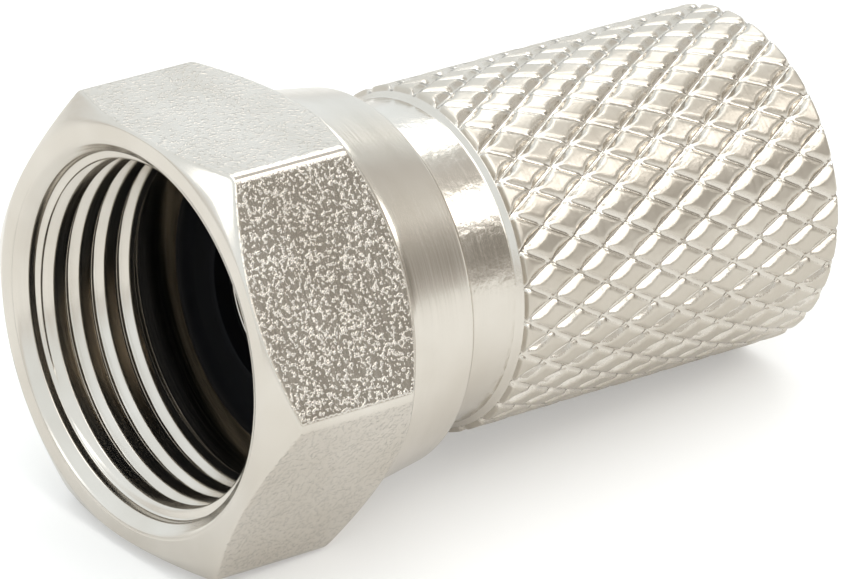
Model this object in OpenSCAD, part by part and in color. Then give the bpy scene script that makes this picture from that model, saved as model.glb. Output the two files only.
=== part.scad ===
// Twist-on F connector for coaxial cable: a coupling nut that spins on a pressed-in post,
// a knurled sleeve that screws onto the cable jacket, and a rubber ring inside the nut.
// The axis is X: the nut's mouth is at x = 0 and the cable leaves towards +X. All sizes are mm.

/* [Coupling nut] */
// Width across the flats of the hexagon
nut_across_flats = 11; // [10.8:0.1:13]
// How much the turned corners take off the hexagon's sharp corner diameter
nut_corner_trim = 0.1; // [0.05:0.05:0.6]
// Length of the hexagonal part
nut_hex_length = 4.8; // [4.5:0.1:7]
// Length of the round skirt behind the hexagon
nut_skirt_length = 2.3; // [2:0.1:4]
// Diameter of the skirt where it leaves the hexagon
nut_skirt_front_d = 10.48; // [10.2:0.02:10.58]
// Diameter of the skirt near its rear edge
nut_skirt_rear_d = 9.86; // [9:0.02:10.2]
// How far the flat ring at the mouth stays inside the flats
nut_face_margin = 0.03; // [0.02:0.01:0.3]
// Angle of the front corner chamfer, from the mouth plane
nut_front_chamfer_deg = 31; // [20:1:45]
// How far below the flats the rear corner chamfer ends
nut_back_drop = 0.2; // [0.1:0.05:0.2]
// Angle of the rear corner chamfer, from the mouth plane
nut_rear_chamfer_deg = 40; // [15:1:45]
// Diameter of the countersink at the mouth
nut_countersink_d = 10; // [9.4:0.1:10.4]

/* [Port thread] */
// Bore of the port thread over its crests, for 3/8-32 UNEF
thread_minor_d = 8.86; // [8:0.02:9.2]
// Distance from the mouth to the end of the thread
thread_end = 4.1; // [3:0.1:4.6]
// Bore of the relief behind the thread
relief_d = 9.5; // [9.3:0.02:9.7]

/* [Post] */
// Bore of the post, for the cable's dielectric
post_bore_d = 4.9; // [4:0.1:5]
// Outside diameter of the post's tube, which goes under the braid
post_tube_d = 5.8; // [5.5:0.1:6]
// Diameter of the barb at the end of the tube
post_barb_d = 6.2; // [6.1:0.1:6.4]
// Length of the barb
post_barb_length = 1.1; // [0.8:0.1:1.6]
// How far the post's tip stays ahead of the sleeve's plain cable entry
post_tip_setback = 0.25; // [0.1:0.05:2]
// Diameter of the shank that the nut turns on and the sleeve is pressed onto
post_shank_d = 6.6; // [6.4:0.1:6.8]
// Length of the shank inside the sleeve
post_press_length = 3; // [2:0.1:4]
// Diameter of the flange that holds the nut
post_flange_d = 7.8; // [7.4:0.1:8.4]
// Thickness of the flange
post_flange_thickness = 0.6; // [0.5:0.05:0.8]

/* [Rubber ring] */
// Outside diameter of the ring
seal_d = 8.5; // [8:0.1:8.6]
// Diameter of the hole in the ring
seal_hole_d = 5.1; // [5:0.1:6]
// Thickness of the ring
seal_thickness = 0.6; // [0.5:0.05:0.7]
// Radius of the ring's front outer edge
seal_edge_r = 0.35; // [0.1:0.05:0.45]

/* [Sleeve] */
// Diameter of the plain collar behind the nut
collar_d = 8.5; // [8:0.02:8.6]
// Length of the plain collar
collar_length = 1.75; // [1:0.05:3]
// Diameter over the crests of the knurl
knurl_d = 9.06; // [9:0.02:9.6]
// Length of the knurl, without the chamfers at its ends
knurl_length = 10.2; // [8.5:0.1:14]
// Length of the chamfer at the knurl's front end
knurl_front_chamfer = 0.1; // [0.1:0.05:0.4]
// Length of the chamfer at the knurl's rear end
knurl_rear_chamfer = 0.15; // [0.1:0.05:0.4]
// Length of the plain rim behind the knurl
rim_length = 0.05; // [0.05:0.05:0.5]
// Bore of the sleeve over the crests of its jacket thread
jacket_bore_d = 6.9; // [6.8:0.1:7.1]
// Diameter of the plain cable entry at the rear
entry_d = 7.3; // [7.2:0.1:7.4]
// Length of the plain cable entry
entry_length = 2.8; // [2:0.1:3]
// Width of the chamfer round the cable entry
entry_chamfer = 0.2; // [0.1:0.05:0.25]

/* [Knurl] */
// Number of grooves in each direction
knurl_starts = 30; // [24:1:36]
// Distance along the axis between neighbouring diamonds of one row
knurl_pitch = 1.7; // [1.2:0.02:2.2]
// Depth of the grooves
knurl_depth = 0.18; // [0.15:0.01:0.3]
// Width of a crest as a share of its diamond
knurl_crest_share = 0.5; // [0.1:0.02:0.6]

/* [Fits] */
// Radial running clearance between the nut's lip and the post's shank
spin_clearance = 0.08; // [0.02:0.01:0.1]
// Axial clearance of the nut's lip, at the flange and at the collar
end_clearance = 0.1; // [0.05:0.01:0.15]
// Radial gap left in the model between the pressed shank and the sleeve
press_gap = 0.01; // [0:0.005:0.02]

/* [Hidden] */
$fn = 96;

small_chamfer = 0.15;                 // broken edges of turned faces
skirt_chamfer = 0.2;                  // chamfer round the skirt's rear edge
skirt_land = 0.2;                     // straight part of the skirt, next to the hexagon
skirt_root = 0.5;                     // how far the skirt is carried into the hexagon
past = 1;                             // how far cutting shapes run past what they cut

nut_length = nut_hex_length + nut_skirt_length;
nut_lip_bore_d = post_shank_d + 2 * spin_clearance;
countersink_depth = (nut_countersink_d - thread_minor_d) / 2;
relief_runout = (relief_d - thread_minor_d) / 2;

nut_corner_d = nut_across_flats / cos(30) - nut_corner_trim;
nut_face_d = nut_across_flats - 2 * nut_face_margin;
nut_back_d = nut_across_flats - 2 * nut_back_drop;
seal_setback = 0.3;                   // the ring stays this far behind the end of the thread
seal_front = thread_end + seal_setback;
flange_front = seal_front + seal_thickness;
flange_rear = flange_front + post_flange_thickness;
lip_front = flange_rear + end_clearance;
sleeve_front = nut_length + end_clearance;
shank_end = sleeve_front + post_press_length;

band_front = sleeve_front + collar_length;
knurl_front = band_front + knurl_front_chamfer;
knurl_rear = knurl_front + knurl_length;
band_rear = knurl_rear + knurl_rear_chamfer;
sleeve_rear = band_rear + rim_length;
entry_front = sleeve_rear - entry_length;
post_tip = entry_front - post_tip_setback;
barb_front = post_tip - post_barb_length;

knurl_crest_r = knurl_d / 2;
knurl_root_r = knurl_crest_r - knurl_depth;
core_r = knurl_root_r - 0.13;         // the plain wall below the grooves
knurl_inner_r = core_r - 0.2;         // inside of the knurled band, sunk in the sleeve's wall
knurl_steps = round(2 * knurl_length / knurl_pitch);
knurl_step = knurl_length / knurl_steps;
knurl_cols = 2 * knurl_starts;
knurl_row_points = 5 * knurl_starts;

// Turns a profile drawn as (x, radius) about the X axis.
module turned() {
    rotate([0, 90, 0]) rotate([0, 0, 90]) rotate_extrude() rotate([0, 0, 90]) mirror([0, 1, 0]) children();
}

// A hexagonal bar from x = 0, with one flat up and one down.
module hex_bar(width, length) {
    rotate([0, 90, 0]) rotate([0, 0, 30]) cylinder(d = width / cos(30), h = length, $fn = 6);
}

// The nut's hexagon between its two corner chamfers.
module nut_hexagon() {
    corner_r = nut_corner_d / 2;
    face_r = nut_face_d / 2;
    front = (corner_r - face_r) * tan(nut_front_chamfer_deg);
    back_r = nut_back_d / 2;
    rear = (corner_r - back_r) * tan(nut_rear_chamfer_deg);
    intersection() {
        hex_bar(nut_across_flats, nut_hex_length);
        turned() polygon([
            [0, 0], [0, face_r], [front, corner_r],
            [nut_hex_length - rear, corner_r], [nut_hex_length, back_r], [nut_hex_length, 0]
        ]);
    }
}

// The skirt: a short straight land at the hexagon, a slow taper and a chamfered rear edge.
module nut_skirt() {
    front_r = nut_skirt_front_d / 2;
    rear_r = nut_skirt_rear_d / 2;
    turned() polygon([
        [nut_hex_length - skirt_root, 0], [nut_hex_length - skirt_root, front_r],
        [nut_hex_length + skirt_land, front_r], [nut_length - skirt_chamfer, rear_r],
        [nut_length, rear_r - skirt_chamfer], [nut_length, 0]
    ]);
}

module coupling_nut() {
    lip_r = nut_lip_bore_d / 2;
    crest_r = thread_minor_d / 2;
    relief_r = relief_d / 2;
    color([0.80, 0.78, 0.74]) difference() {
        union() {
            nut_hexagon();
            nut_skirt();
        }
        turned() polygon([
            [-past, 0], [-past, crest_r + countersink_depth + past],
            [countersink_depth, crest_r], [thread_end, crest_r],
            [thread_end + relief_runout, relief_r], [lip_front, relief_r],
            [lip_front, lip_r + small_chamfer], [lip_front + small_chamfer, lip_r],
            [nut_length - small_chamfer, lip_r], [nut_length + past, lip_r + small_chamfer + past],
            [nut_length + past, 0]
        ]);
    }
}

// Knurl lattice. Columns run round the sleeve and steps run along it. Where column + step is
// even, two grooves cross at the root radius; where it is odd, a diamond has its crest.
function knurl_turned(x, col, r) =
    let (a = col * 360 / knurl_cols)
    [x, r * cos(a), r * sin(a)];

function knurl_x(step) = knurl_front + step * knurl_step;

function wrapped(col) = (col + knurl_cols) % knurl_cols;

// The crest's four corners: towards the front, the rear, the column before and the column after.
function crest_points(step, col) =
    let (s = knurl_crest_share)
    [
        knurl_turned(knurl_x(step - s), col, knurl_crest_r),
        knurl_turned(knurl_x(step + s), col, knurl_crest_r),
        knurl_turned(knurl_x(step), col - s, knurl_crest_r),
        knurl_turned(knurl_x(step), col + s, knurl_crest_r)
    ];

function row_points(step) = concat(
    [for (col = [step % 2 : 2 : knurl_cols - 1]) knurl_turned(knurl_x(step), col, knurl_root_r)],
    [for (col = [(step + 1) % 2 : 2 : knurl_cols - 1]) each crest_points(step, col)]
);

// The outer ring of an end face: below each crest a root, and the two side corners let down to it.
function end_points(x, step) = [
    for (col = [(step + 1) % 2 : 2 : knurl_cols - 1])
        for (c = [col - 1, col - knurl_crest_share, col + knurl_crest_share])
            knurl_turned(x, c, knurl_root_r)
];

function inner_points(x) = [for (col = [0 : knurl_cols - 1]) knurl_turned(x, col, knurl_inner_r)];

function root_at(step, col) = step * knurl_row_points + floor(wrapped(col) / 2);

function crest_at(step, col, corner) =
    step * knurl_row_points + knurl_starts + 4 * floor(wrapped(col) / 2) + corner;

function end_at(side, col, place) =
    (knurl_steps + 1) * knurl_row_points + side * 3 * knurl_starts + 3 * floor(wrapped(col) / 2) + place;

function inner_at(side, col) =
    (knurl_steps + 1) * knurl_row_points + 6 * knurl_starts + side * knurl_cols + wrapped(col);

function reversed(face) = [for (i = [len(face) - 1 : -1 : 0]) face[i]];

// One diamond: its flat crest and the four flanks that fall to the grooves.
function diamond_faces(step, col) =
    let (
        w = root_at(step - 1, col),
        e = root_at(step + 1, col),
        s = root_at(step, col - 1),
        n = root_at(step, col + 1),
        cw = crest_at(step, col, 0),
        ce = crest_at(step, col, 1),
        cs = crest_at(step, col, 2),
        cn = crest_at(step, col, 3)
    )
    step == 0 ? [[ce, cn, cs], [e, n, cn, ce], [s, e, ce, cs]]
    : step == knurl_steps ? [[cn, cw, cs], [n, w, cw, cn], [w, s, cs, cw]]
    : [[ce, cn, cw, cs], [e, n, cn, ce], [n, w, cw, cn], [w, s, cs, cw], [s, e, ce, cs]];

// The chamfer and the end face beside one half diamond, on the front (side 0) or the rear (side 1).
function end_faces(side, step, col) =
    let (
        edge = [root_at(step, col - 1), crest_at(step, col, 2), crest_at(step, col, 3), root_at(step, col + 1)],
        ring = [end_at(side, col, 0), end_at(side, col, 1), end_at(side, col, 2), end_at(side, col + 2, 0)],
        faces = [
            [edge[0], edge[1], ring[1], ring[0]],
            [edge[1], edge[2], ring[2], ring[1]],
            [edge[2], edge[3], ring[3], ring[2]],
            concat(ring, [inner_at(side, col + 1), inner_at(side, col), inner_at(side, col - 1)])
        ]
    )
    [for (face = faces) side == 0 ? face : reversed(face)];

module knurled_band() {
    points = concat(
        [for (step = [0 : knurl_steps]) each row_points(step)],
        end_points(band_front, 0), end_points(band_rear, knurl_steps),
        inner_points(band_front), inner_points(band_rear)
    );
    faces = concat(
        [for (step = [0 : knurl_steps])
            for (col = [(step + 1) % 2 : 2 : knurl_cols - 1]) each diamond_faces(step, col)],
        [for (col = [1 : 2 : knurl_cols - 1]) each end_faces(0, 0, col)],
        [for (col = [(knurl_steps + 1) % 2 : 2 : knurl_cols - 1]) each end_faces(1, knurl_steps, col)],
        [for (col = [0 : knurl_cols - 1])
            [inner_at(0, col), inner_at(0, col + 1), inner_at(1, col + 1), inner_at(1, col)]]
    );
    polyhedron(points, faces);
}

// The sleeve's wall below the knurl, from the collar to the rim.
module sleeve_core() {
    collar_r = collar_d / 2;
    seat_r = post_shank_d / 2 + press_gap;
    bore_r = jacket_bore_d / 2;
    entry_r = entry_d / 2;
    collar_end = band_front + 0.3;
    turned() polygon([
        [sleeve_front, seat_r], [sleeve_front, collar_r - small_chamfer],
        [sleeve_front + small_chamfer, collar_r], [collar_end, collar_r], [collar_end, core_r],
        [band_rear, core_r], [sleeve_rear, core_r - rim_length],
        [sleeve_rear, entry_r + entry_chamfer], [sleeve_rear - entry_chamfer, entry_r],
        [entry_front, entry_r], [entry_front - (entry_r - bore_r), bore_r],
        [shank_end + (bore_r - seat_r), bore_r], [shank_end, seat_r]
    ]);
}

module knurled_sleeve() {
    color([0.82, 0.80, 0.76]) union() {
        sleeve_core();
        knurled_band();
    }
}

module inner_post() {
    bore_r = post_bore_d / 2;
    tube_r = post_tube_d / 2;
    shank_r = post_shank_d / 2;
    flange_r = post_flange_d / 2;
    barb_r = post_barb_d / 2;
    tip_r = bore_r + 0.15;
    color([0.78, 0.76, 0.72]) turned() polygon([
        [flange_front, bore_r], [flange_front, flange_r - small_chamfer],
        [flange_front + small_chamfer, flange_r], [flange_rear, flange_r], [flange_rear, shank_r],
        [shank_end - small_chamfer, shank_r], [shank_end, shank_r - small_chamfer],
        [shank_end, tube_r], [barb_front, tube_r], [barb_front, barb_r], [post_tip, tip_r],
        [post_tip, bore_r]
    ]);
}

// Half of the ring's section: a flat washer whose front outer edge is rounded over.
module seal_ring() {
    hole_r = seal_hole_d / 2;
    edge_r = seal_d / 2;
    color([0.06, 0.06, 0.07]) turned() difference() {
        translate([seal_front, hole_r]) square([seal_thickness, edge_r - hole_r]);
        difference() {
            translate([seal_front - past, edge_r - seal_edge_r]) square([seal_edge_r + past, seal_edge_r + past]);
            translate([seal_front + seal_edge_r, edge_r - seal_edge_r]) circle(r = seal_edge_r);
        }
    }
}

coupling_nut();
knurled_sleeve();
inner_post();
seal_ring();
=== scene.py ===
import bpy
import numpy as np
from mathutils import Matrix, Vector


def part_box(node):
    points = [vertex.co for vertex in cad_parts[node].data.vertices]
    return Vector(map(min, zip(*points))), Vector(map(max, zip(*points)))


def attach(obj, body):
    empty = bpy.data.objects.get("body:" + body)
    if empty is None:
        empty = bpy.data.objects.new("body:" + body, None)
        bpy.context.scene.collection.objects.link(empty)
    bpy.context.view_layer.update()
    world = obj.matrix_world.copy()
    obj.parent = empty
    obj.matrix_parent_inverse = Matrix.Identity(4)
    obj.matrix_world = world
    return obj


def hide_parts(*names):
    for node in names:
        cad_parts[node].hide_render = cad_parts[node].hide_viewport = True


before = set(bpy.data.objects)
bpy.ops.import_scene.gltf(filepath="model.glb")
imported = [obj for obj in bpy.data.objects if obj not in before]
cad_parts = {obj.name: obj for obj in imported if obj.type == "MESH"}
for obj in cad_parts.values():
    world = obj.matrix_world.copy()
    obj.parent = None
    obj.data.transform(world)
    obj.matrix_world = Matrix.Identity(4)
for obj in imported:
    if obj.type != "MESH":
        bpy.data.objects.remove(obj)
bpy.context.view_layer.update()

# ---------------------------------------------------------------- coupling nut
# The nut is turned from hexagonal brass bar and nickel plated. Its flats keep the bar's
# pebbled skin, and everything else is turned: face, corner chamfers, skirt, port thread.
MM = 0.001                       # lengths are in millimetres until they reach a mesh


def packed_reach(node):
    """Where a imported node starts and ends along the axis, and how far it reaches from the
    axis towards +Y and +Z, to the nearest micrometre."""
    low, high = (np.round(np.array(corner) / MM, 3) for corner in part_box(node))
    return low[0], *high


# The nut's mouth is at 0, two corners of its hexagon are at +Y and -Y, and a flat is on top.
_, nut_end, corner_r, flat_r = packed_reach("coupling_nut")
hex_end = 4.8
face_r = 5.47                    # flat ring at the mouth
face_groove_r = 5.06             # a fine V groove in that ring
face_groove_half, face_groove_depth = 0.035, 0.03
back_r = 5.3                     # foot of the rear corner chamfer
front_slope = np.tan(np.radians(31))
rear_slope = np.tan(np.radians(40))
corner_softness = 0.02           # how far the turned corners run into the flats
edge_softness = 0.028            # how far plating and tumbling have rounded the edges
skin_fade = 0.05                 # the bar's pebbled skin thins out over this at turned edges
skirt_front_r, skirt_rear_r, skirt_break = 5.24, 4.93, 0.2
lip_front, lip_r = 5.7, 3.38     # the lip that the post's flange holds
turned_break = 0.15              # broken edges of turned faces
turned_softness = 0.012          # rounding where two turned surfaces meet

mouth_r, mouth_break = 5.0, 0.03
lead_in_r, lead_in_end, lead_in_slope = 4.72, 0.52, 3    # the bore is opened just inside the mouth
crest_r, root_r = 4.43, 4.66     # port thread, 3/8-32
port_pitch = 25.4 / 32
port_crest = 0.195               # half of a crest's width
port_flank = 1.15                # a flank's rise for each mm along the axis
port_phase = -0.33
thread_softness = 0.035          # how far plating has rounded the crests and the bottom
thread_end = 3.35
last_turn_reach = 0.65           # the last turn reaches this much deeper on one side,
last_turn_deg, last_turn_spread = 80, 48    # at this angle, and fades over this on both sides
relief_r = 4.75
bore_rear = 4.5                  # the bore's rows start here, in the relief


def smallest(*radii, softness):
    """The smallest of several radii, with the change from one to the next rounded over:
    minus softness times the log of the sum of exp(-radius / softness)."""
    stack = np.stack(np.broadcast_arrays(*radii))
    low = stack.min(0)
    return low - softness * np.log(np.exp((low - stack) / softness).sum(0))


def largest(*radii, softness):
    """The largest of several radii, rounded over in the same way."""
    return -smallest(*(-radius for radius in radii), softness=softness)


def eased_line(corners, steps=4):
    """An open line through (x, radius, ease) corners. It leaves the straight run at a
    distance of ease before a corner and joins the next run at ease after it, along a
    parabola pulled by the corner. An ease takes at most 0.42 of a run, and one more point
    on each run, 1.15 times as far from the corner, holds it straight."""
    corners = np.array(corners, float)
    middle, ease = corners[1:-1, :2], corners[1:-1, 2:]
    before, after = corners[:-2, :2] - middle, corners[2:, :2] - middle
    reach_before = np.linalg.norm(before, axis=1, keepdims=True)
    reach_after = np.linalg.norm(after, axis=1, keepdims=True)
    start = before / reach_before * np.minimum(ease, 0.42 * reach_before)
    finish = after / reach_after * np.minimum(ease, 0.42 * reach_after)
    t = np.linspace(0, 1, steps + 1)[None, :, None]
    curve = (1 - t) ** 2 * start[:, None] + t ** 2 * finish[:, None]
    curve = np.concatenate([1.15 * start[:, None], curve, 1.15 * finish[:, None]], 1)
    curve = (middle[:, None] + curve).reshape(-1, 2)
    return np.concatenate([corners[:1, :2], curve, corners[-1:, :2]]).T[..., None]


def on_stretch(stretches, marked, share):
    """A grid over all the stretches of a skin: share on the rows of the marked one, and
    nothing on the rows of the others."""
    return np.concatenate([
        share if stretch is marked else np.zeros((len(stretch[0]), share.shape[1]), share.dtype)
        for stretch in stretches
    ])


def closed_skin(name, angle, stretches, lean=None):
    """A closed skin round the X axis, made of stretches of x and radius that follow each
    other along it. Row i and column j stand at (x, radius cos angle, radius sin angle).
    The last row joins the first and the last column joins the first. Each cell is two
    triangles, parted by one diagonal or, where lean is true, by the other."""
    columns = np.ones_like(angle)
    x = np.concatenate([stretch_x * columns for stretch_x, _ in stretches])
    radius = np.concatenate([stretch_r * columns for _, stretch_r in stretches])
    points = np.stack([x, radius * np.cos(angle), radius * np.sin(angle)], -1) * MM
    here = np.arange(x.size).reshape(x.shape)
    beside, behind = np.roll(here, -1, 1), np.roll(here, -1, 0)
    across = np.roll(beside, -1, 0)
    if lean is None:
        lean = np.zeros(x.shape, bool)
    front = np.stack([here, beside, np.where(lean, behind, across)], -1)
    rear = np.stack([np.where(lean, beside, here), across, behind], -1)
    triangles = np.concatenate([front.reshape(-1, 3), rear.reshape(-1, 3)])
    mesh = bpy.data.meshes.new(name)
    mesh.from_pydata(points.reshape(-1, 3), [], triangles)
    mesh.polygons.foreach_set("use_smooth", np.ones(len(triangles), bool))
    mesh.update()
    piece = bpy.data.objects.new(name, mesh)
    bpy.context.scene.collection.objects.link(piece)
    return piece


def above_zero(value, softness):
    """What a value has above zero, with the bend at zero rounded: half of the sum of the
    value and the square root of its square plus softness squared."""
    return (value + np.sqrt(value ** 2 + softness ** 2)) / 2


def inner_thread(x, angle, crest, root, pitch, crest_half, flank, phase):
    """Radius of a right-hand inside thread. The distance along the axis from the nearest
    crest, less half a crest, times the flank's slope, is held between crest and root."""
    turn = x / pitch - angle / (2 * np.pi) + phase
    from_crest = np.abs((turn + 0.5) % 1 - 0.5) * pitch
    rise = above_zero((from_crest - crest_half) * flank, thread_softness)
    return crest + rise - above_zero(rise - (root - crest), thread_softness)


def nut_columns():
    """Angles round the nut, close together at its six corners, where they are 0.4 degrees
    apart, and 2 degrees apart over the flats."""
    half = np.concatenate([[0, 0.4, 0.8, 1.2, 1.7, 2.4, 3.4], np.arange(5, 31, 2), [30]])
    sector = np.concatenate([half, 60 - half[-2:0:-1]])
    return np.radians((sector[None] + 60 * np.arange(6)[:, None]).ravel())


nut_angle = nut_columns()
from_flat = np.abs(nut_angle % (np.pi / 3) - np.pi / 6)
sharp_r = flat_r / np.cos(from_flat)
bar_r = smallest(sharp_r, np.full_like(sharp_r, corner_r), softness=corner_softness)

# The hexagon's rows keep to its chamfers, which are longest at the corners.
front_x = (bar_r - face_r) * front_slope
rear_x = hex_end - (bar_r - back_r) * rear_slope
chamfer_share = np.array([0, 0.3, 0.55, 0.75, 0.88, 0.96, 1])[:, None]
flat_share = np.array([0.007, 0.016, 0.03, 0.06, 0.12, 0.3, 0.5, 0.7, 0.88, 0.94, 0.97, 0.984, 0.993])
hexagon_x = np.concatenate([
    front_x * chamfer_share,
    front_x + (rear_x - front_x) * flat_share[:, None],
    rear_x + (hex_end - rear_x) * chamfer_share,
])
front_cone = face_r + hexagon_x / front_slope
rear_cone = back_r + (hex_end - hexagon_x) / rear_slope
hexagon = (hexagon_x, smallest(bar_r, front_cone, rear_cone, softness=edge_softness))

face_rows = np.array([
    (0, face_groove_r - face_groove_half),
    (face_groove_depth, face_groove_r),
    (0, face_groove_r + face_groove_half),
    (0, face_groove_r + 2 * face_groove_half),
    (0, face_r - 0.09),
]).T[..., None]
skirt_rows = eased_line([
    (hex_end, back_r - 0.01, 0), (hex_end, skirt_front_r, 0.02),
    (hex_end + turned_break, skirt_front_r, 0.08), (nut_end - skirt_break, skirt_rear_r, 0.05),
    (nut_end, skirt_rear_r - skirt_break, 0.05),
    (nut_end, lip_r + turned_break, 0.05), (nut_end - turned_break, lip_r, 0.05),
    (lip_front + turned_break, lip_r, 0.05), (lip_front, lip_r + turned_break, 0.05),
    (lip_front, relief_r, 0.1), (bore_rear + 0.05, relief_r, 0),
])

# The bore is the widest of the thread, its run-out into the relief, the countersink and
# the lead-in.
bore_x = np.concatenate([np.arange(bore_rear, 0.05, -0.03), [0.045, 0.02, 0.005]])[:, None]
thread_r = inner_thread(bore_x, nut_angle, crest_r, root_r, port_pitch, port_crest, port_flank, port_phase)
from_last = (np.degrees(nut_angle) - last_turn_deg + 180) % 360 - 180
last_turn = last_turn_reach * np.exp(-(from_last / last_turn_spread) ** 2)
runout = crest_r + np.clip(bore_x - thread_end - last_turn, 0, relief_r - crest_r)
countersink = mouth_r - bore_x + mouth_break * np.exp(-2 * bore_x / mouth_break)
lead_in = lead_in_r - lead_in_slope * np.maximum(bore_x - lead_in_end, 0)
bore_r = largest(thread_r, runout, countersink, lead_in, softness=turned_softness)

nut_stretches = [face_rows, hexagon, skirt_rows, (bore_x, bore_r)]
nut = closed_skin("nut_shell", nut_angle, nut_stretches)

# How far each point of the hexagon is on a bar flat and not on turned metal, from 0 to 1.
# It fades over skin_fade at the chamfers, and less steeply at the turned corners.
clear = np.minimum(np.minimum(front_cone, rear_cone) - bar_r, (corner_r - sharp_r) * 0.6)
bar_skin = on_stretch(nut_stretches, hexagon, np.clip((clear + 0.01) / skin_fade, 0, 1))
nut.data.attributes.new("bar_skin", "FLOAT", "POINT").data.foreach_set("value", bar_skin.ravel())


def speckle(tree, place, scale, detail, roughness=0.5):
    """A noise of a given scale over a place, from 0 to 1."""
    noise = tree.nodes.new("ShaderNodeTexNoise")
    for socket, level in (("Scale", scale), ("Detail", detail), ("Roughness", roughness)):
        noise.inputs[socket].default_value = level
    tree.links.new(place, noise.inputs["Vector"])
    return noise.outputs["Fac"]


def mark(tree, name):
    """What a mesh keeps for each of its points under a name, or 0 if it has no such marks."""
    attribute = tree.nodes.new("ShaderNodeAttribute")
    attribute.attribute_name = name
    return attribute.outputs["Fac"]


def reckon(tree, operation, *terms):
    """One step of arithmetic on terms that are numbers or sockets."""
    step = tree.nodes.new("ShaderNodeMath")
    step.operation = operation
    for socket, term in zip(step.inputs, terms):
        if isinstance(term, float):
            socket.default_value = term
        else:
            tree.links.new(term, socket)
    return step.outputs["Value"]


def spread(tree, value, low, high, to_low=0.0, to_high=1.0, easing="LINEAR"):
    """A value carried from low and high to to_low and to_high, and held there outside them."""
    span = tree.nodes.new("ShaderNodeMapRange")
    span.interpolation_type = easing
    levels = {"From Min": low, "From Max": high, "To Min": to_low, "To Max": to_high}
    for socket, level in levels.items():
        span.inputs[socket].default_value = level
    tree.links.new(value, span.inputs["Value"])
    return span.outputs["Result"]


def shades(tree, value, stops):
    """The colour at a value on a scale of stops, each a position and a colour."""
    scale = tree.nodes.new("ShaderNodeValToRGB")
    ends = scale.color_ramp.elements
    ends[0].position, ends[0].color = stops[0][0], (*stops[0][1], 1)
    ends[1].position, ends[1].color = stops[-1][0], (*stops[-1][1], 1)
    for position, colour in stops[1:-1]:
        ends.new(position).color = (*colour, 1)
    tree.links.new(value, scale.inputs["Fac"])
    return scale.outputs["Color"]


def stain(tree, share, colour, other, blend="MIX"):
    """A colour blended by a share, from 0 to 1, with another colour."""
    blended = tree.nodes.new("ShaderNodeMixRGB")
    blended.blend_type = blend
    blended.inputs["Color2"].default_value = (*other, 1)
    tree.links.new(share, blended.inputs["Fac"])
    tree.links.new(colour, blended.inputs["Color1"])
    return blended.outputs["Color"]


def emboss(tree, height, strength, distance, under=None):
    """The normal of a surface raised by distance where height is 1, over another relief."""
    bump = tree.nodes.new("ShaderNodeBump")
    bump.inputs["Strength"].default_value = strength
    bump.inputs["Distance"].default_value = distance
    tree.links.new(height, bump.inputs["Height"])
    if under is not None:
        tree.links.new(under, bump.inputs["Normal"])
    return bump.outputs["Normal"]


def plating(name, roughness, ring_marks, pebbles=False, pits=0.0):
    """Bright nickel over brass. Slow clouds shift its colour, and fine rings round the X
    axis are the turning tool's marks. The knurl's worn tops are darker and duller, pits
    roughen a rolled surface, and pebbles are the bar's unmachined skin, whose border
    wanders with the tool's marks."""
    material = bpy.data.materials.new(name)
    material.use_nodes = True
    tree = material.node_tree
    shader = tree.nodes["Principled BSDF"]
    shader.inputs["Metallic"].default_value = 1.0
    place = tree.nodes.new("ShaderNodeTexCoord").outputs["Object"]
    worn_top = mark(tree, "worn_top")

    clouds = speckle(tree, place, scale=420, detail=4)
    nickel = shades(tree, clouds, ((0.3, (0.60, 0.555, 0.49)), (0.7, (0.68, 0.64, 0.58))))
    nickel = stain(tree, worn_top, nickel, (0.88, 0.865, 0.84), blend="MULTIPLY")
    tree.links.new(nickel, shader.inputs["Base Color"])

    rings = tree.nodes.new("ShaderNodeMapping")
    rings.inputs["Scale"].default_value = (16000, 260, 260)
    tree.links.new(place, rings.inputs["Vector"])
    tool_marks = speckle(tree, rings.outputs["Vector"], scale=1, detail=3)
    polish = spread(tree, tool_marks, 0.3, 0.7, roughness * 0.8, roughness * 1.3)
    tree.links.new(reckon(tree, "MULTIPLY_ADD", worn_top, 0.16, polish), shader.inputs["Roughness"])

    normal = emboss(tree, tool_marks, strength=ring_marks, distance=0.000004)
    if pits:
        pitted = speckle(tree, place, scale=3800, detail=3)
        normal = emboss(tree, pitted, strength=pits, distance=0.00002, under=normal)
    if pebbles:
        grain = speckle(tree, place, scale=9500, detail=2, roughness=0.55)
        raised = spread(tree, grain, 0.52, 0.68, easing="SMOOTHSTEP")
        wander = reckon(tree, "MULTIPLY_ADD", tool_marks, 0.9, mark(tree, "bar_skin"))
        border = spread(tree, wander, 0.8, 1.1, easing="SMOOTHSTEP")
        height = reckon(tree, "MULTIPLY", reckon(tree, "ADD", raised, 0.4), border)
        normal = emboss(tree, height, strength=0.7, distance=0.000028, under=normal)
    tree.links.new(normal, shader.inputs["Normal"])
    return material


nut.data.materials.append(plating("nut_nickel", 0.20, 0.6, pebbles=True))
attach(nut, "nut")
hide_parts("coupling_nut")

# -------------------------------------------------------------- knurled sleeve
# The sleeve is turned brass with a diamond knurl rolled in two crossing sets of 30 grooves.
# It is pressed onto the post and screws onto the cable's jacket with a coarse inside thread.
sleeve_front, sleeve_end, knurl_crest_r, _ = packed_reach("knurled_sleeve")
collar_r = 4.25
band_front, band_front_r = 8.98, 4.385       # feet of the chamfers at the knurl's ends
band_rear, band_rear_r = 19.42, 4.40
front_break_slope, rear_break_slope = 2.2, 1.3
knurl_front, knurl_rear = 9.05, 19.25
knurl_depth = 0.18
starts = 30                      # grooves in each set
steps_along = 12                 # half diamonds along the sleeve
fine = 7                         # rows and columns to each half diamond
narrow_flank, wide_flank = 0.13, 0.44    # flanks as shares of half the way to the next groove
cross_flank = 0.24
cross_share = 0.55               # depth of the second set of grooves, as a share of the first
groove_softness, rim_softness = 0.06, 0.06
wear = 0.07                      # share of the height by which the diamonds differ
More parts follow.
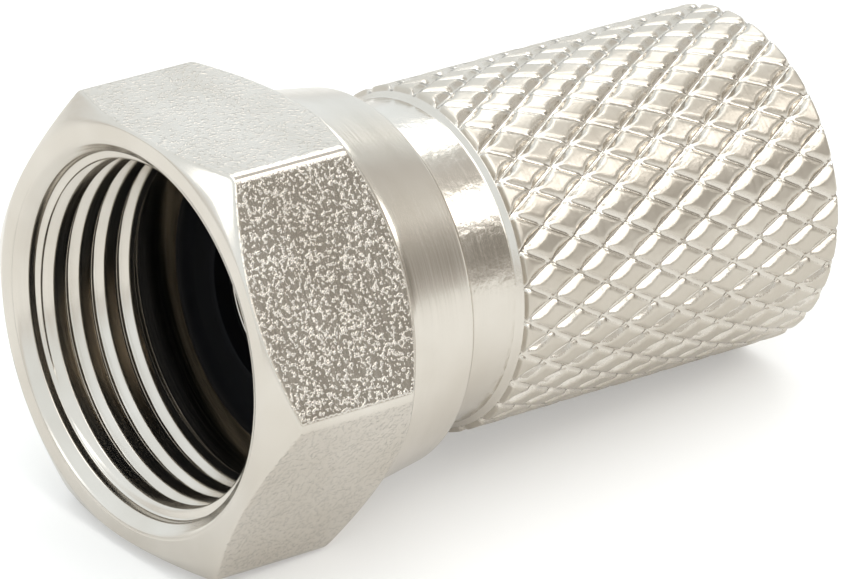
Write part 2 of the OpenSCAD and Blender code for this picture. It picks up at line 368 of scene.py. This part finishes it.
scatter_round, scatter_along, scatter_all = 12.9898, 78.233, 43758.5453    # any uneven factors
worn_from, worn_full = 0.72, 0.92        # shares of the height at which a top looks worn

seat_r = 3.31                    # bore that is pressed onto the post's shank
shank_end = 10.2
jacket_crest_r, jacket_root_r = 3.45, 3.8
jacket_front, jacket_rear = 10.5, 16.3
jacket_pitch, jacket_crest, jacket_flank = 1.6, 0.1, 0.75    # as for the port thread
entry_front, entry_r, entry_break = 16.65, 3.65, 0.2


def diamond_knurl(along, around):
    """Height over the groove bottoms of a diamond knurl. along and around count half
    diamonds, and grooves run where their half sum or half difference is whole. Both
    distances, 0 in a groove and 1 midway to the next, have their bend at 0 rounded. Over
    the first set's grooves the height is that distance over the flank's share, and the
    flank widens as a half sine away from the crossings. The second set starts higher, and
    all is held at the crest over a rounded rim. Each diamond's height differs a little,
    by the far decimals of a sine of its place."""
    one, two = (around + along) / 2, (around - along) / 2
    from_one, from_two = (
        np.sqrt((2 * (turn - np.round(turn))) ** 2 + groove_softness ** 2) - groove_softness
        for turn in (one, two))
    column = (np.floor(one) + np.floor(two) + 1) % (2 * starts)
    place = column * scatter_round + (np.floor(one) - np.floor(two)) * scatter_along
    worn = 1 - wear + wear * (np.sin(place) * scatter_all % 1)
    flank = narrow_flank + (wide_flank - narrow_flank) * np.sin(from_two * np.pi / 2)
    crossing = 1 - cross_share + cross_share * from_two / cross_flank
    rim = smallest(from_one / flank, crossing, np.ones_like(worn), softness=rim_softness)
    return knurl_depth * np.maximum(rim, 0) * worn


sleeve_angle = np.radians(np.arange(2 * starts * fine) * 180 / (starts * fine))
around = np.arange(2 * starts * fine) / fine
step_length = (knurl_rear - knurl_front) / steps_along
along = np.concatenate([
    (band_front + np.array([0.005, 0.02, 0.04, 0.055]) - knurl_front) / step_length,
    np.arange(steps_along * fine + 1) / fine,
    (band_rear - np.array([0.11, 0.07, 0.04, 0.02, 0.005]) - knurl_front) / step_length,
])[:, None]
knurl_x = knurl_front + along * step_length
knurl_height = diamond_knurl(along, around)
front_break = band_front_r + (knurl_x - band_front) * front_break_slope
rear_break = band_rear_r + (band_rear - knurl_x) * rear_break_slope
knurl_floor_r = knurl_crest_r - knurl_depth
knurl_r = smallest(knurl_floor_r + knurl_height, front_break, rear_break, softness=turned_softness)
knurl = (knurl_x, knurl_r)

collar_rows = eased_line([
    (7.6, seat_r, 0), (sleeve_front, seat_r, 0.03), (sleeve_front, collar_r - turned_break, 0.05),
    (sleeve_front + turned_break, collar_r, 0.05), (8.84, collar_r, 0.04), (8.965, 4.38, 0.02),
    (band_front, band_front_r, 0),
], steps=2)
rear_rows = eased_line([
    (band_rear, 4.33, 0), (19.43, 4.28, 0.01), (19.445, 4.22, 0.02), (sleeve_end, 4.15, 0.03),
    (sleeve_end, entry_r + entry_break, 0.05), (sleeve_end - entry_break, entry_r, 0.06),
    (entry_front, entry_r, 0.05), (entry_front - entry_break, jacket_crest_r, 0.03),
    (jacket_rear + 0.1, jacket_crest_r, 0),
], steps=2)
jacket_x = np.arange(jacket_rear, jacket_front, -0.16)[:, None]
jacket_r = inner_thread(
    jacket_x, sleeve_angle, jacket_crest_r, jacket_root_r, jacket_pitch, jacket_crest, jacket_flank, 0)
seat_rows = eased_line([
    (jacket_front - 0.05, jacket_crest_r, 0),
    (shank_end + jacket_crest_r - seat_r, jacket_crest_r, 0.02), (shank_end, seat_r, 0.02), (9.4, seat_r, 0),
], steps=2)
sleeve_stretches = [collar_rows, knurl, rear_rows, (jacket_x, jacket_r), seat_rows]

# Cells on the first set's grooves are parted along them, so that no groove is jagged.
middle_one = (around + 0.5 / fine + along + 0.5 / fine) / 2
middle_two = (around - along) / 2
from_first, from_second = (np.abs(middle - np.round(middle)) for middle in (middle_one, middle_two))
along_first = on_stretch(sleeve_stretches, knurl, from_first < from_second)
sleeve = closed_skin("sleeve_shell", sleeve_angle, sleeve_stretches, along_first)
worn = np.clip((knurl_height / knurl_depth - worn_from) / (worn_full - worn_from), 0, 1)
worn_top = on_stretch(sleeve_stretches, knurl, worn)
sleeve.data.attributes.new("worn_top", "FLOAT", "POINT").data.foreach_set("value", worn_top.ravel())
sleeve.data.materials.append(plating("sleeve_nickel", 0.20, 0.7, pits=0.6))
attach(sleeve, "sleeve")
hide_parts("knurled_sleeve")

# ----------------------------------------------------------------- inner post
# The post is a turned and plated tube. Its flange holds the nut, its shank is pressed into
# the sleeve, and its barbed tail goes under the cable's braid.
flange_front, tip_end, flange_r, _ = packed_reach("inner_post")
post_bore_r = 2.45
flange_rear = 5.6
shank_r, tube_r = 3.3, 2.9
barb_front, barb_r, tip_r = 15.3, 3.1, 2.6

post_angle = np.radians(np.arange(0, 360, 2))
post_rows = eased_line([
    (8.0, post_bore_r, 0), (flange_front, post_bore_r, 0.05),
    (flange_front, flange_r - turned_break, 0.04), (flange_front + turned_break, flange_r, 0.04),
    (flange_rear, flange_r, 0.03), (flange_rear, shank_r, 0.04),
    (shank_end - turned_break, shank_r, 0.04), (shank_end, shank_r - turned_break, 0.03),
    (shank_end, tube_r, 0.04), (barb_front, tube_r, 0.04), (barb_front, barb_r, 0.03),
    (tip_end, tip_r, 0.05), (tip_end, post_bore_r, 0.03), (12.0, post_bore_r, 0),
])
post = closed_skin("post_tube", post_angle, [post_rows])
post.data.materials.append(plating("post_nickel", 0.17, 0.6))
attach(post, "sleeve")
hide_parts("inner_post")

# ------------------------------------------------------------------ seal ring
# The ring is a moulded black rubber washer with a rounded bead round its front edge. It
# lies on the post's flange, inside the nut, and keeps water out of the joint.
ring_front, ring_rear, ring_r, _ = packed_reach("seal_ring")
ring_hole_r = 2.55
ring_rows = eased_line([
    (4.7, ring_hole_r, 0), (4.5, ring_hole_r, 0.05), (4.46, 2.7, 0.08), (4.46, 3.45, 0.12),
    (4.41, 3.7, 0.12), (ring_front, 3.95, 0.12), (4.47, 4.16, 0.12), (4.7, ring_r, 0.08),
    (ring_rear, ring_r - 0.01, 0.04), (ring_rear, ring_hole_r, 0.04), (4.85, ring_hole_r, 0),
], steps=6)
ring = closed_skin("rubber_ring", post_angle, [ring_rows])


def rubber(name):
    """Black moulded rubber: nearly black with a cool cast, a satin skin and fine grain."""
    material = bpy.data.materials.new(name)
    material.use_nodes = True
    tree = material.node_tree
    shader = tree.nodes["Principled BSDF"]
    shader.inputs["Specular IOR Level"].default_value = 0.07
    place = tree.nodes.new("ShaderNodeTexCoord").outputs["Object"]
    grain = speckle(tree, place, scale=2600, detail=5)
    tone = shades(tree, grain, ((0, (0.0015, 0.0016, 0.002)), (1, (0.004, 0.0045, 0.006))))
    tree.links.new(tone, shader.inputs["Base Color"])
    tree.links.new(spread(tree, grain, 0.0, 1.0, 0.32, 0.5), shader.inputs["Roughness"])
    tree.links.new(emboss(tree, grain, strength=0.3, distance=0.00001), shader.inputs["Normal"])
    return material


ring.data.materials.append(rubber("ring_rubber"))
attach(ring, "sleeve")
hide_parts("seal_ring")

# ---------------------------------------------------------------------- floor
# The connector lies on one flat of the nut and on the knurl's rear edge. The model keeps
# its axis level, so the floor is what slopes, by nearly four degrees.
flat_end = 4.62                  # rear end of the nut's lower flat
floor_half = 1.5                 # metres, like every length from here on
floor_gap = 0.000005
nut_heel = Vector((flat_end, 0, -flat_r)) * MM
knurl_heel = Vector((knurl_rear, 0, -knurl_crest_r)) * MM
floor_along = (knurl_heel - nut_heel).normalized()
floor_across = Vector((0, 1, 0))
floor_up = floor_along.cross(floor_across).normalized()
floor_corners = [
    nut_heel + (floor_along * a + floor_across * b) * floor_half - floor_up * floor_gap
    for a, b in ((-1, -1), (1, -1), (1, 1), (-1, 1))
]
floor_mesh = bpy.data.meshes.new("floor")
floor_mesh.from_pydata(floor_corners, [], [(0, 1, 2, 3)])
floor = bpy.data.objects.new("floor", floor_mesh)
bpy.context.scene.collection.objects.link(floor)


def paper(name):
    """Dull white paper. A glow for camera rays alone makes it plain white behind the
    connector, and a weaker one for glossy rays keeps it pale in the metal."""
    material = bpy.data.materials.new(name)
    material.use_nodes = True
    tree = material.node_tree
    shader = tree.nodes["Principled BSDF"]
    shader.inputs["Base Color"].default_value = (0.67, 0.66, 0.64, 1)
    shader.inputs["Roughness"].default_value = 0.9
    shader.inputs["Specular IOR Level"].default_value = 0.1
    shader.inputs["Emission Color"].default_value = (1, 1, 1, 1)
    rays = tree.nodes.new("ShaderNodeLightPath").outputs
    mirrored = reckon(tree, "MULTIPLY", rays["Is Glossy Ray"], 0.19)
    glow = reckon(tree, "MULTIPLY_ADD", rays["Is Camera Ray"], 0.30, mirrored)
    tree.links.new(glow, shader.inputs["Emission Strength"])
    return material


floor.data.materials.append(paper("white_paper"))

# --------------------------------------------------------------------- lights
# A long soft box hangs overhead. Two smaller ones stand high beyond the cable end, one on
# each side of the axis, and a weak one faces the nut's mouth.
centre = Vector((0.0095, 0, 0))
lamp_distance = 0.4
for name, toward, width, height, radiance in (
    ("overhead_soft_box", (0.03, -0.33, 0.94), 0.28, 0.68, 1.6),
    ("rear_soft_box", (0.54, 0.36, 0.76), 0.115, 0.11, 4.0),
    ("front_soft_box", (0.57, -0.47, 0.67), 0.09, 0.12, 4.5),
    ("left_soft_box", (-0.90, 0.25, 0.36), 0.12, 0.09, 1.7),
):
    lamp = bpy.data.lights.new(name, "AREA")
    lamp.shape, lamp.size, lamp.size_y = "RECTANGLE", width, height
    lamp.energy = radiance * np.pi * width * height
    box = bpy.data.objects.new(name, lamp)
    direction = Vector(toward).normalized()
    box.matrix_world = direction.to_track_quat("Z", "Y").to_matrix().to_4x4()
    box.location = centre + direction * lamp_distance
    bpy.context.scene.collection.objects.link(box)

# ----------------------------------------------------------------------- tent
# A tent of white cloth stands round it all, with its dark opening low beyond the cable end,
# on the camera's side. The paper lights its foot, and the camera sees plain white instead.
tent = bpy.data.worlds.new("tent")
bpy.context.scene.world = tent
tent.use_nodes = True
tree = tent.node_tree
outward = tree.nodes.new("ShaderNodeTexCoord").outputs["Generated"]
toward_opening = tree.nodes.new("ShaderNodeVectorMath")
toward_opening.operation = "DOT_PRODUCT"
toward_opening.inputs[1].default_value = Vector((0.66, -0.68, 0.31)).normalized()
tree.links.new(outward, toward_opening.inputs[0])
cloth = shades(tree, toward_opening.outputs["Value"], (
    (0.2, (0.88, 0.94, 0.98)), (0.42, (0.79, 0.82, 0.82)), (0.55, (0.70, 0.73, 0.73)),
    (0.67, (0.56, 0.55, 0.53)), (0.78, (0.61, 0.60, 0.57)), (0.91, (0.64, 0.63, 0.59)),
    (0.955, (0.44, 0.42, 0.39)), (0.992, (0.25, 0.235, 0.21)),
))
upward = tree.nodes.new("ShaderNodeSeparateXYZ")
tree.links.new(outward, upward.inputs["Vector"])
near_floor = spread(tree, upward.outputs["Z"], 0.26, -0.12, easing="SMOOTHERSTEP")
background = tree.nodes["Background"]
background.inputs["Strength"].default_value = 1.25
tree.links.new(stain(tree, near_floor, cloth, (0.68, 0.66, 0.63)), background.inputs["Color"])
plain = tree.nodes.new("ShaderNodeBackground")
plain.inputs["Color"].default_value = (1, 1, 1, 1)
choose = tree.nodes.new("ShaderNodeMixShader")
tree.links.new(tree.nodes.new("ShaderNodeLightPath").outputs["Is Camera Ray"], choose.inputs["Fac"])
tree.links.new(background.outputs["Background"], choose.inputs[1])
tree.links.new(plain.outputs["Background"], choose.inputs[2])
tree.links.new(choose.outputs["Shader"], tree.nodes["World Output"].inputs["Surface"])

# --------------------------------------------------------------------- camera
# The camera is held level with the floor, ahead of the nut's mouth and to one side, some
# 25 degrees above the axis. It looks through a long lens at the middle of the connector.
camera_data = bpy.data.cameras.new("camera")
camera_data.sensor_width, camera_data.lens = 36, 312.9
camera_data.clip_start, camera_data.clip_end = 0.01, 10
camera = bpy.data.objects.new("camera", camera_data)
bpy.context.scene.collection.objects.link(camera)
camera_place = Vector((-0.09947, -0.13038, 0.07741))
camera_aim = Vector((0.00919, -0.00009, -0.00085))
forward = (camera_aim - camera_place).normalized()
right = forward.cross(floor_up).normalized()
camera_turn = Matrix((right, right.cross(forward), -forward)).transposed()
camera.matrix_world = Matrix.Translation(camera_place) @ camera_turn.to_4x4()
bpy.context.scene.camera = camera
bpy.context.scene.view_settings.view_transform = "Standard"
